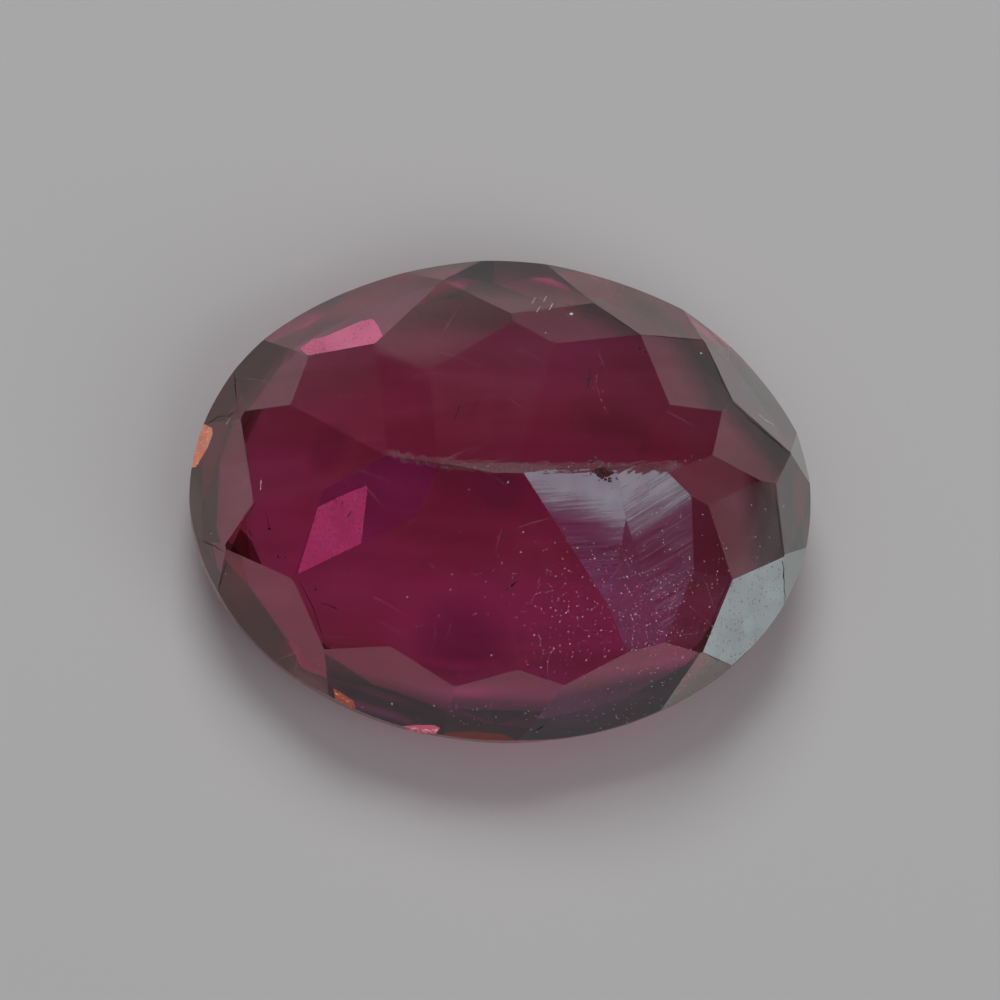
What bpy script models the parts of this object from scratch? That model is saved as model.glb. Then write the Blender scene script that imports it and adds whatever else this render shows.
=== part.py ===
"""A loose rubellite tourmaline, cut by hand as a faceted oval gemstone.

The stone lies table down, as it does when it is put down on a flat surface: the flat table is at
height zero, the crown widens upwards to the girdle, and the pavilion rises to a worn keel.
The stone's long way is along X and the origin is under its middle.

It is shaped as a gem cutter shapes it. An oval blank is ground flat, one facet after another, and
each facet is a plane stated by the way that it faces, its slope and how deep it is ground.
"""
import math
from dataclasses import dataclass

import bmesh
import bpy
from mathutils import Vector

MM = 0.001

# Driving sizes of the stone
LENGTH = 10.36 * MM
WIDTH = 8.04 * MM
CROWN_HEIGHT = 1.15 * MM
GIRDLE_HEIGHT = 0.50 * MM
PAVILION_HEIGHT = 3.46 * MM

# The oval is a little fuller at its far left and near right than an ellipse, and at its left end
OVAL_SKEW = 0.010
OVAL_LEAN = 0.006
OVAL_STEPS = 144

# How near a corner a cut may pass and still go through it
GRIND_SNAP = 1e-8

# The crown is a plain oval brilliant: its table, how far its ring of bezels is turned, as a share
# of the way from one bezel to the next, and the slopes of its three rings of facets
TABLE_SHARE = 0.66
BEZEL_COUNT = 8
CROWN_TURN = 0.5
STAR_SLOPE = 18.0
BREAK_SLOPE_GAIN = 6.0
BREAK_BITE = 0.06 * MM

# The wear along the keel: a narrow flat, which leans a little to the right
KEEL_WEAR = 0.02 * MM
KEEL_WEAR_LEAN = 0.4

# The polished tourmaline
STONE_COLOUR = (0.36, 0.012, 0.075, 1.0)
STONE_ROUGHNESS = 0.04
STONE_IOR = 1.63


@dataclass(frozen=True)
class RimFacet:
    """A steep facet of the pavilion's outer ring, which runs out to the girdle.

    The turn is the way that it faces, in degrees from the right-hand end, anticlockwise from above.
    The slope is in degrees from the level, and the bite is how far it cuts into the oval.
    """

    turn: float
    slope: float
    bite: float


@dataclass(frozen=True)
class PavilionFacet:
    """A facet further in, stated by the height over the girdle where its plane meets the stone's axis."""

    turn: float
    slope: float
    apex: float


# The outer ring, from the right-hand end round by the far side. The small ones cut the corners
# between the large ones.
RIM_FACETS = (
    RimFacet(13.5, 72.0, -0.04 * MM),
    RimFacet(39.5, 64.0, 0.04 * MM),
    RimFacet(49.5, 67.0, -0.01 * MM),
    RimFacet(73.0, 54.0, -0.02 * MM),
    RimFacet(88.5, 43.5, -0.13 * MM),
    RimFacet(104.5, 61.0, 0.08 * MM),
    RimFacet(113.0, 56.5, 0.18 * MM),
    RimFacet(133.5, 51.5, -0.11 * MM),
    RimFacet(156.5, 63.0, 0.02 * MM),
    RimFacet(174.5, 62.0, 0.14 * MM),
    RimFacet(202.0, 69.0, -0.01 * MM),
    RimFacet(228.5, 58.5, 0.14 * MM),
    RimFacet(255.0, 48.5, 0.14 * MM),
    RimFacet(266.0, 48.5, 0.13 * MM),
    RimFacet(283.5, 57.0, 0.21 * MM),
    RimFacet(297.0, 65.0, 0.08 * MM),
    RimFacet(318.0, 57.5, -0.02 * MM),
    RimFacet(340.5, 69.5, 0.01 * MM),
    RimFacet(353.5, 65.5, 0.00 * MM),
)

# The main facets, whose outer tips meet the corners of the outer ring
MAIN_FACETS = (
    PavilionFacet(24.5, 45.0, 5.78 * MM),
    PavilionFacet(66.0, 44.5, 4.58 * MM),
    PavilionFacet(87.5, 41.0, 3.70 * MM),
    PavilionFacet(92.0, 40.5, 3.65 * MM),
    PavilionFacet(123.0, 43.0, 4.53 * MM),
    PavilionFacet(159.5, 42.0, 5.12 * MM),
    PavilionFacet(218.5, 44.5, 5.10 * MM),
    PavilionFacet(250.0, 41.0, 3.75 * MM),
    PavilionFacet(260.0, 40.5, 3.53 * MM),
    PavilionFacet(271.0, 39.0, 3.47 * MM),
    PavilionFacet(302.0, 43.0, 4.58 * MM),
    PavilionFacet(330.5, 45.5, 5.60 * MM),
)

# The flatter facets that fill the way from the main facets to the keel
KEEL_FACETS = (
    PavilionFacet(94.5, 39.0, 3.61 * MM),
    PavilionFacet(90.0, 39.0, 3.53 * MM),
    PavilionFacet(86.5, 38.5, 3.53 * MM),
    PavilionFacet(55.5, 34.0, 4.10 * MM),
    PavilionFacet(247.0, 39.5, 3.75 * MM),
    PavilionFacet(279.0, 36.5, 3.48 * MM),
    PavilionFacet(282.0, 37.0, 3.56 * MM),
    PavilionFacet(290.0, 36.5, 3.71 * MM),
    PavilionFacet(307.0, 40.0, 4.44 * MM),
    PavilionFacet(348.0, 35.5, 4.85 * MM),
)


def skewed_oval(angle):
    """The point of the skewed oval at an angle in radians, before it is centred."""
    fullness = 1.0 - OVAL_LEAN * math.cos(angle) - OVAL_SKEW * math.sin(2 * angle)
    return Vector((LENGTH / 2 * math.cos(angle), WIDTH / 2 * math.sin(angle), 0.0)) * fullness


def oval_angles():
    """The angles of the oval's points, anticlockwise from the right-hand end."""
    return [2 * math.pi * step / OVAL_STEPS for step in range(OVAL_STEPS)]


def oval_middle():
    """The middle of the box round the skewed oval."""
    points = [skewed_oval(angle) for angle in oval_angles()]
    along = [point.x for point in points]
    across = [point.y for point in points]
    return Vector((max(along) + min(along), max(across) + min(across), 0.0)) / 2


OVAL_MIDDLE = oval_middle()


def oval_point(angle):
    """The point of the oval at an angle in radians, level with the origin and centred on it."""
    return skewed_oval(angle) - OVAL_MIDDLE


def facing(turn, slope):
    """The direction that a facet faces, from its turn and its slope in degrees."""
    around = math.radians(turn)
    lean = math.radians(slope)
    return Vector((math.sin(lean) * math.cos(around), math.sin(lean) * math.sin(around), math.cos(lean)))


def oval_reach(turn):
    """How far the oval reaches from its middle in a direction given in degrees."""
    way = facing(turn, 90.0)
    return max(oval_point(angle).dot(way) for angle in oval_angles())


def blank():
    """A straight oval blank as tall as the stone, as a closed mesh."""
    mesh = bmesh.new()
    height = CROWN_HEIGHT + GIRDLE_HEIGHT + PAVILION_HEIGHT
    bmesh.ops.create_cone(
        mesh, cap_ends=True, segments=OVAL_STEPS, radius1=1.0, radius2=1.0, depth=height
    )
    for vertex in mesh.verts:
        level = vertex.co.z + height / 2
        vertex.co = oval_point(math.atan2(vertex.co.y, vertex.co.x))
        vertex.co.z = level
    return mesh


def grind(mesh, point, direction):
    """Grinds away what lies past a plane, and closes the stone with the new flat facet."""
    everything = mesh.verts[:] + mesh.edges[:] + mesh.faces[:]
    cut = bmesh.ops.bisect_plane(
        mesh, geom=everything, dist=GRIND_SNAP, plane_co=point, plane_no=direction, clear_outer=True
    )
    rim = [item for item in cut["geom_cut"] if isinstance(item, bmesh.types.BMEdge)]
    if rim:
        bmesh.ops.contextual_create(mesh, geom=rim)


def grind_rim(mesh):
    """Grinds the steep outer ring of the pavilion."""
    line = CROWN_HEIGHT + GIRDLE_HEIGHT
    for facet in RIM_FACETS:
        out = facing(facet.turn, 90.0) * (oval_reach(facet.turn) - facet.bite)
        grind(mesh, out + Vector((0.0, 0.0, line)), facing(facet.turn, facet.slope))


def grind_pavilion(mesh):
    """Grinds the main facets and the keel's facets, up to the keel."""
    line = CROWN_HEIGHT + GIRDLE_HEIGHT
    for facet in MAIN_FACETS + KEEL_FACETS:
        grind(mesh, Vector((0.0, 0.0, line + facet.apex)), facing(facet.turn, facet.slope))


def wear_keel(mesh):
    """Flattens the sharp keel, as years of rubbing do."""
    top = max(vertex.co.z for vertex in mesh.verts)
    grind(mesh, Vector((0.0, 0.0, top - KEEL_WEAR)), facing(0.0, KEEL_WEAR_LEAN))


def crown_direction(angle, slope):
    """The direction that a facet of the crown faces: square to the oval at an angle, and downwards."""
    across = Vector((WIDTH * math.cos(angle), LENGTH * math.sin(angle), 0.0)).normalized()
    lean = math.radians(slope)
    return across * math.sin(lean) - Vector((0.0, 0.0, math.cos(lean)))


def bezel_slope(angle):
    """The slope that joins the girdle to the table's edge at an angle round the oval."""
    across = crown_direction(angle, 90.0)
    run = oval_point(angle).dot(across) * (1.0 - TABLE_SHARE)
    return math.degrees(math.atan2(CROWN_HEIGHT, run))


def grind_crown(mesh):
    """Grinds the crown: its bezels, two break facets beside each bezel, and the stars at the table."""
    step = 2 * math.pi / BEZEL_COUNT
    low = Vector((0.0, 0.0, CROWN_HEIGHT))
    for index in range(BEZEL_COUNT):
        angle = step * (index + CROWN_TURN)
        grind(mesh, oval_point(angle) + low, crown_direction(angle, bezel_slope(angle)))
        for side in (-1, 1):
            beside = angle + side * step / 4
            across = crown_direction(beside, 90.0)
            edge = oval_point(beside) - across * BREAK_BITE + low
            grind(mesh, edge, crown_direction(beside, bezel_slope(beside) + BREAK_SLOPE_GAIN))
        between = angle + step / 2
        tip = oval_point(between) * TABLE_SHARE
        grind(mesh, tip, crown_direction(between, STAR_SLOPE))


def stone_material():
    """Polished rubellite: a deep crimson glass-clear crystal."""
    material = bpy.data.materials.new("rubellite_crystal")
    material.use_nodes = True
    shader = material.node_tree.nodes["Principled BSDF"]
    shader.inputs["Base Color"].default_value = STONE_COLOUR
    shader.inputs["Roughness"].default_value = STONE_ROUGHNESS
    shader.inputs["Metallic"].default_value = 0.0
    shader.inputs["IOR"].default_value = STONE_IOR
    shader.inputs["Transmission Weight"].default_value = 1.0
    return material


def stone():
    """The whole gemstone as one object."""
    mesh = blank()
    grind_rim(mesh)
    grind_pavilion(mesh)
    wear_keel(mesh)
    grind_crown(mesh)
    bmesh.ops.recalc_face_normals(mesh, faces=mesh.faces[:])
    data = bpy.data.meshes.new("rubellite")
    mesh.to_mesh(data)
    mesh.free()
    data.materials.append(stone_material())
    gem = bpy.data.objects.new("rubellite", data)
    bpy.context.scene.collection.objects.link(gem)
    return gem


def main():
    """Clears the scene and builds the stone."""
    for item in list(bpy.data.objects):
        bpy.data.objects.remove(item, do_unlink=True)
    stone()


main()
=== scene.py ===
"""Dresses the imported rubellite: a worn, hand-polished, see-through gemstone on a pale studio floor.

The CAD stone stays as the fixed frame. A finer copy of it stands in its place: its facet edges are
rubbed round, its polish shows, and the things that sit in and on the real stone are added as pieces.
"""

import logging
import math
import random
from dataclasses import dataclass, field
from enum import Enum

import bmesh
import bpy
from mathutils import Matrix, Vector
from mathutils.bvhtree import BVHTree


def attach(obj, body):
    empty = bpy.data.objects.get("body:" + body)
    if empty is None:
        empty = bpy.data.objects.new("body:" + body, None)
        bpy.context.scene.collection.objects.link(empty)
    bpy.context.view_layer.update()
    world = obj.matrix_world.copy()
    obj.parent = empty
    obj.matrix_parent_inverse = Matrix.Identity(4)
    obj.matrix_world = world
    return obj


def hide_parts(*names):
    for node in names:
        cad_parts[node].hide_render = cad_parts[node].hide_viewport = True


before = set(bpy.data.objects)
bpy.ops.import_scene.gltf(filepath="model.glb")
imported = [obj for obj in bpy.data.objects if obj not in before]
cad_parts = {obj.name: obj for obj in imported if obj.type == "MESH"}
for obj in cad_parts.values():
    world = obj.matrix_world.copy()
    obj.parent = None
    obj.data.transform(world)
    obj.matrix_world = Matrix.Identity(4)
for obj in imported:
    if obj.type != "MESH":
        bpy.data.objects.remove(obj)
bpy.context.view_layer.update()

MM = 0.001
LOG = logging.getLogger("rubellite")

Tree = bpy.types.NodeTree
Node = bpy.types.Node
Socket = bpy.types.NodeSocket
Material = bpy.types.Material
Mesh = bmesh.types.BMesh

# A colour in linear light, a place in the picture in millimetres, a line through such places, and
# the two ends of a range
Colour = tuple[float, float, float]
Place = tuple[float, float]
Path = list[Place]
Span = tuple[float, float]

# A fading that no streak reaches, for a veil that doesn't fade
NOWHERE_FADED = -2.0

# Node settings that several materials use
SMOOTH = {"interpolation_type": "SMOOTHSTEP"}
TIMES = {"operation": "MULTIPLY"}
TIMES_PLUS = {"operation": "MULTIPLY_ADD"}
COLOURS = {"data_type": "RGBA"}
TINTS = {"data_type": "RGBA", "blend_type": "MULTIPLY"}
FLAT = {"noise_dimensions": "2D"}


def linear(hex_colour: str) -> Colour:
    """Turns an sRGB hex colour into linear light.

    Args:
        hex_colour: six hex digits, such as "a8a7a7".

    Returns:
        The red, green and blue parts, from 0 to 1.
    """
    parts = [int(hex_colour[start:start + 2], 16) / 255 for start in (0, 2, 4)]
    return tuple(part / 12.92 if part <= 0.04045 else ((part + 0.055) / 1.055) ** 2.4 for part in parts)


def add(tree: Tree, kind: str, settings: dict | None = None, **links) -> Node:
    """Adds a node with its settings and links.

    Args:
        tree: the node tree that the node goes into.
        kind: the node's type, without the "ShaderNode" in front.
        settings: the node's own properties by name, such as a Math node's operation.
        links: the node's inputs by name, spaces as underscores, or by place as n0, n1 and so on:
            a value, another node's output, or another node, whose first output is taken.

    Returns:
        The new node.
    """
    node = tree.nodes.new("ShaderNode" + kind)
    for name, value in (settings or {}).items():
        setattr(node, name, value)
    for name, value in links.items():
        key = name.replace("_", " ")
        socket = node.inputs[int(key[1:])] if key[0] == "n" and key[1:].isdigit() else node.inputs[key]
        value = value.outputs[0] if isinstance(value, Node) else value
        if isinstance(value, Socket):
            tree.links.new(value, socket)
        else:
            socket.default_value = value
    return node


def new_material(name: str) -> tuple[Material, Tree]:
    """Makes an empty node material.

    Args:
        name: the material's name.

    Returns:
        The material and its cleared node tree.
    """
    material = bpy.data.materials.new(name)
    material.use_nodes = True
    material.node_tree.nodes.clear()
    return material, material.node_tree


def facing(turn: float, slope: float) -> Vector:
    """The way that a facet faces.

    Args:
        turn: degrees from the right-hand end, anticlockwise from above.
        slope: degrees from the level.

    Returns:
        The facet's outward direction.
    """
    around, lean = math.radians(turn), math.radians(slope)
    return Vector((math.sin(lean) * math.cos(around), math.sin(lean) * math.sin(around), math.cos(lean)))


def put_in_scene(name: str, mesh: Mesh, material: Material) -> bpy.types.Object:
    """Makes a scene object of a finished mesh.

    Args:
        name: the object's name.
        mesh: the finished mesh, which is freed.
        material: its only material.

    Returns:
        The object, at the origin.
    """
    data = bpy.data.meshes.new(name)
    mesh.to_mesh(data)
    mesh.free()
    data.materials.append(material)
    item = bpy.data.objects.new(name, data)
    bpy.context.scene.collection.objects.link(item)
    return item


def as_piece(name: str, mesh: Mesh, material: Material) -> bpy.types.Object:
    """Makes a piece of the stone: an object that rides with it.

    Args:
        name: the piece's name.
        mesh: the finished mesh, which is freed.
        material: its only material.

    Returns:
        The piece.
    """
    piece = put_in_scene(name, mesh, material)
    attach(piece, "root")
    return piece


@dataclass(frozen=True)
class Bloom:
    """How a facet's surface scatters light: a veil that is partly the real haze of fine scratches,
    polish residue and stains on it, and partly painted light.

    The share of the surface that scatters instead of letting light through, the veil's colour, the
    turn of the polishing lines in degrees from the facet's level line, and how deeply it is pitted.
    A veil that fades, the painted sheen along the keel, does so downwards across an edge, over the two
    distances from where it starts, a place given in millimetres right of and above the picture's middle,
    as the camera sees it. The edge's turn is given the same way, and so are the lines of such a veil.
    On many facets the veil is a painted reflection of the bright studio, and over a feather it is a
    painted flash. The depth is painted shade: the colour that the light let through under the facet is
    darkened to, white where none is painted, and on a few facets a painted purple glow. Where the
    painted shade grows, it does so outwards along a turn in the picture, from one distance to another.
    """

    colour: str
    share: float
    lines: float = 0.0
    pits: float = 0.0
    fade: Span | None = None
    start: Place = (0.0, 0.0)
    edge: float = 0.0
    depth: str = "ffffff"
    painted_shade_band: tuple[float, float, float] | None = None


class Cut(Enum):
    """Something on one facet: the turn and the slope that the facet is cut to come first, its bloom last."""

    def is_on(self, normal: Vector) -> bool:
        """Whether a face with this outward direction belongs to the facet."""
        return normal.angle(facing(*self.value[:2]), math.pi) < math.radians(0.5)

    @property
    def bloom(self) -> Bloom:
        """Its veil and depth, with their painted light and shade."""
        return self.value[-1]


class Facet(Cut):
    """A facet that stands out from the others, much of it by painted light: a pale painted reflection
    on the facets towards the right, duller ones on the left, a painted sheen along the keel, and painted
    shade, on a few facets a painted purple glow, in the light that it lets through.
    """

    # Painted reflection: the pale veils of the facets towards the right stand in for a bright studio on that
    # side, over the real haze, frost and pits of their polish
    FRONT_RIGHT_TIP = (13.5, 72.0, Bloom("c0d0c8", 0.62))
    BACK_RIGHT = (39.5, 64.0, Bloom("b4c0bc", 0.33, depth="c0d8d0"))
    BACK_RIGHT_TIP = (49.5, 67.0, Bloom("bcc0bc", 0.12))
    BACK_OUTER = (73.0, 54.0, Bloom("a4a8a4", 0.17))
    BACK_MIDDLE = (88.5, 43.5, Bloom("9a8c8c", 0.07, depth="69abaa", painted_shade_band=(88.5, 3.3, 3.65)))
    BACK_TIP = (104.5, 61.0, Bloom("a89c98", 0.13))
    BACK_LEFT = (113.0, 56.5, Bloom("c07890", 0.085))
    LEFT_SHOULDER = (133.5, 51.5, Bloom("8c7464", 0.06, depth="a0c4b4", painted_shade_band=(133.5, 4.05, 4.30)))
    LEFT_SHOULDER_TIP = (156.5, 63.0, Bloom("80705c", 0.02, depth="a4a08c"))
    LEFT_END = (174.5, 62.0, Bloom("8a7050", 0.07))
    LEFT_END_TIP = (202.0, 69.0, Bloom("8c786c", 0.08))
    LEFT_CHEEK = (228.5, 58.5, Bloom("b07888", 0.055))
    NEAR_LEFT = (255.0, 48.5, Bloom("86646a", 0.04, depth="6a9098", painted_shade_band=(-105.0, 3.3, 3.6)))
    NEAR_MIDDLE = (266.0, 48.5, Bloom("86646a", 0.04, depth="6a9098", painted_shade_band=(-94.0, 3.15, 3.45)))
    NEAR_RIGHT = (283.5, 57.0, Bloom("8a8a8e", 0.08, depth="5a9ea2", painted_shade_band=(-76.5, 3.2, 3.5)))
    NEAR_RIGHT_TIP = (297.0, 65.0, Bloom("b0b4ac", 0.48))
    FROSTED_CHEEK = (318.0, 57.5, Bloom("cddcde", 0.88, lines=35.0, pits=1.0))
    RIGHT_CHEEK_TIP = (340.5, 69.5, Bloom("c4d6d0", 0.74, lines=50.0, pits=0.4))
    RIGHT_END = (353.5, 65.5, Bloom("94aca4", 0.27, depth="a0c8c0"))
    # Painted shade: the light that these main facets let through darkens outwards in the picture
    BACK_KITE = (92.0, 40.5, Bloom("b06878", 0.012, depth="8c5c66", painted_shade_band=(85.0, 2.45, 3.0)))
    BACK_LEDGE = (87.5, 41.0, Bloom("b08a92", 0.004, depth="40484a", painted_shade_band=(60.0, 3.2, 3.55)))
    BACK_RIGHT_MAIN = (66.0, 44.5, Bloom("b08a92", 0.004, depth="40484a", painted_shade_band=(25.0, 3.45, 4.0)))
    RIGHT_MAIN = (24.5, 45.0, Bloom("b08a92", 0.004, depth="40484a", painted_shade_band=(40.0, 3.62, 3.95)))
    RIGHT_LOW_MAIN = (330.5, 45.5, Bloom("a8a0a4", 0.075, depth="40484a", painted_shade_band=(5.0, 3.85, 4.3)))
    RIGHT_KITE = (348.0, 35.5, Bloom("a88890", 0.055, depth="3c2c30", painted_shade_band=(5.0, 4.0, 4.35)))
    LOW_RIGHT_MAIN = (302.0, 43.0, Bloom("988890", 0.03, depth="d0e8dc"))
    LOW_RIGHT_INNER = (307.0, 40.0, Bloom("907078", 0.03, depth="c0c0c0"))
    # Painted glow: a purple tint in the light that this facet lets through
    PURPLE_GLOW_FACET = (247.0, 39.5, Bloom("e789ff", 0.03, depth="f0a8ff"))
    # Painted sheen: pale veils along the keel, with real polishing streaks in them, stand in for a light's
    # reflection and fade downwards as the camera sees them, over a painted purple glow
    KEEL_SHEEN_LEFT = (
        279.0, 36.5,
        Bloom("c6c8dc", 0.60, fade=(-0.25, 0.50), start=(0.45, 0.20), edge=-20.0, depth="d8b0ff"),
    )
    KEEL_SHEEN_LOW = (282.0, 37.0, Bloom("a890b4", 0.09, lines=60.0, depth="e4ccff"))
    KEEL_SHEEN_RIGHT = (
        290.0, 36.5,
        Bloom("c8ccdc", 0.60, lines=33.0, fade=(-0.55, 0.72), start=(2.42, -0.12), edge=27.0, depth="dcc0f4"),
    )


class Window(Cut):
    """A part of a facet that stands out: a feather, or flat healed crack, just under the polish, or a
    stain. A feather's bright colour is a painted flash: it stands in for the light that the crack
    sends back.

    Its outline is in millimetres right of and above the picture's middle, clockwise.
    """

    # Painted flashes: the bright pinks and orange of these feathers stand in for light that the cracks send
    # back
    PINK_FEATHER_FLASH = (
        247.0, 39.5,
        ((-3.40, -1.32), (-3.02, -0.07), (-2.58, 0.10), (-2.22, 0.27), (-2.21, 0.13), (-2.29, -0.50),
         (-2.35, -1.00), (-2.83, -1.30)),
        Bloom("f8529a", 0.50, pits=1.0),
    )
    ROSE_FEATHER_FLASH = (
        113.0, 56.5,
        ((-2.90, 2.73), (-2.30, 2.99), (-2.12, 3.02), (-2.03, 2.90), (-1.95, 2.72), (-2.03, 2.50),
         (-2.90, 2.40)),
        Bloom("ff7cae", 0.68, pits=0.6),
    )
    ROSE_FEATHER_FLASH_END = (
        113.0, 56.5,
        ((-3.33, 2.53), (-3.12, 2.68), (-2.90, 2.73), (-2.90, 2.40), (-3.17, 2.37)),
        Bloom("ff78aa", 0.55, pits=0.7),
    )
    ORANGE_FEATHER_FLASH = (
        174.5, 62.0,
        ((-5.23, 0.53), (-5.17, 1.00), (-5.05, 1.22), (-4.95, 1.27), (-4.80, 1.20), (-4.79, 1.10),
         (-4.87, 0.88), (-5.07, 0.55)),
        Bloom("ffa488", 0.97, pits=0.3),
    )
    HEM_FEATHER_FLASH = (
        255.0, 48.5,
        ((-1.63, -3.77), (-1.40, -3.75), (-1.10, -3.75), (-1.00, -3.80), (-1.13, -4.00), (-1.63, -4.00)),
        Bloom("ff7c98", 0.90, pits=0.3),
    )
    DARK_CORNER = (
        218.5, 44.5,
        ((-4.57, -1.00), (-4.33, -0.47), (-4.15, -0.67), (-3.93, -1.17), (-4.33, -1.25)),
        Bloom("5a2c20", 0.02, depth="74483c"),
    )
    RUST_STAIN = (
        255.0, 48.5,
        ((-2.78, -3.13), (-2.67, -3.20), (-2.45, -3.33), (-2.40, -3.47), (-2.73, -3.40)),
        Bloom("f07858", 0.60, pits=0.3),
    )
    RUST_HALO = (
        228.5, 58.5,
        ((-3.50, -2.67), (-3.03, -3.03), (-2.87, -3.17), (-2.87, -3.33), (-3.50, -3.00)),
        Bloom("a06048", 0.16),
    )
    RUST_HEM = (
        266.0, 48.5,
        ((-1.00, -3.88), (-0.50, -3.85), (0.08, -3.90), (0.33, -4.07), (-1.00, -4.07)),
        Bloom("b8584c", 0.34, pits=0.3),
    )
    LEFT_RUST = (
        174.5, 62.0,
        ((-5.20, 0.50), (-5.05, 0.33), (-4.97, -0.17), (-4.95, -0.68), (-5.17, -0.75)),
        Bloom("a08048", 0.14),
    )

    @property
    def outline(self) -> tuple[Place, ...]:
        """The window's outline."""
        return self.value[2]


@dataclass
class Sight:
    """The camera's line of sight, and where it falls on the stone."""

    girdle_level: float = 1.65 * MM
    lean_south: float = 8.0
    lean_west: float = 4.0
    lens: float = 300.0
    film_width: float = 36.0
    frame_width: float = 1000 / 60 * MM
    aim_right: float = -1 / 60 * MM

    @property
    def back(self) -> Vector:
        """The direction from the stone to the camera."""
        west, south = math.radians(self.lean_west), math.radians(self.lean_south)
        lean = Vector((-math.sin(west), -math.sin(south), 0.0))
        lean.z = math.sqrt(1 - lean.length_squared)
        return lean

    @property
    def up(self) -> Vector:
        """The way that is up in the picture."""
        return (Vector((0.0, 1.0, 0.0)) - self.back * self.back.y).normalized()

    @property
    def right(self) -> Vector:
        """The way that is to the right in the picture."""
        return self.up.cross(self.back)

    @property
    def target(self) -> Vector:
        """The point in the middle of the picture, at the height of the girdle."""
        return Vector((0.0, 0.0, self.girdle_level)) + self.right * self.aim_right

    @property
    def distance(self) -> float:
        """How far the camera stands off."""
        return self.frame_width / self.film_width * self.lens

    @property
    def eye(self) -> Vector:
        """Where the camera stands."""
        return self.target + self.back * self.distance

    def seen_at(self, point: Vector) -> Place:
        """Where a point is seen, in millimetres right of and above the middle of the picture."""
        way = point - self.eye
        reach = self.distance / -way.dot(self.back)
        place = self.eye + way * reach - self.target
        return place.dot(self.right) / MM, place.dot(self.up) / MM

    def through(self, right: float, up: float) -> Vector:
        """The point at the girdle's height that is seen at a place in the picture, in millimetres."""
        return self.target + self.right * right * MM + self.up * up * MM

    def camera(self) -> None:
        """Puts the camera over the stone's back, nearly straight down, with the long way level."""
        lens = bpy.data.cameras.new("camera")
        lens.lens = self.lens
        lens.sensor_width = self.film_width
        lens.clip_start = self.distance * 0.1
        lens.clip_end = self.distance * 20
        camera = bpy.data.objects.new("camera", lens)
        axes = Matrix((self.right, self.up, self.back)).transposed().to_4x4()
        camera.matrix_world = Matrix.Translation(self.eye) @ axes
        bpy.context.scene.collection.objects.link(camera)
        bpy.context.scene.camera = camera


@dataclass
class Surface:
    """The stone's outside, for laying small things on it or just under it."""

    tree: BVHTree
    sight: Sight

    def spot(self, right: float, up: float) -> tuple[Vector, Vector] | None:
        """Finds the place on the stone that the camera sees at a place in the picture.

        Args:
            right: millimetres right of the middle.
            up: millimetres above the middle.

        Returns:
            The point and its outward direction, or None off the stone.
        """
        way = self.sight.through(right, up) - self.sight.eye
        point, normal, _, _ = self.tree.ray_cast(self.sight.eye, way.normalized())
        return None if point is None else (point, normal)


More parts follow.
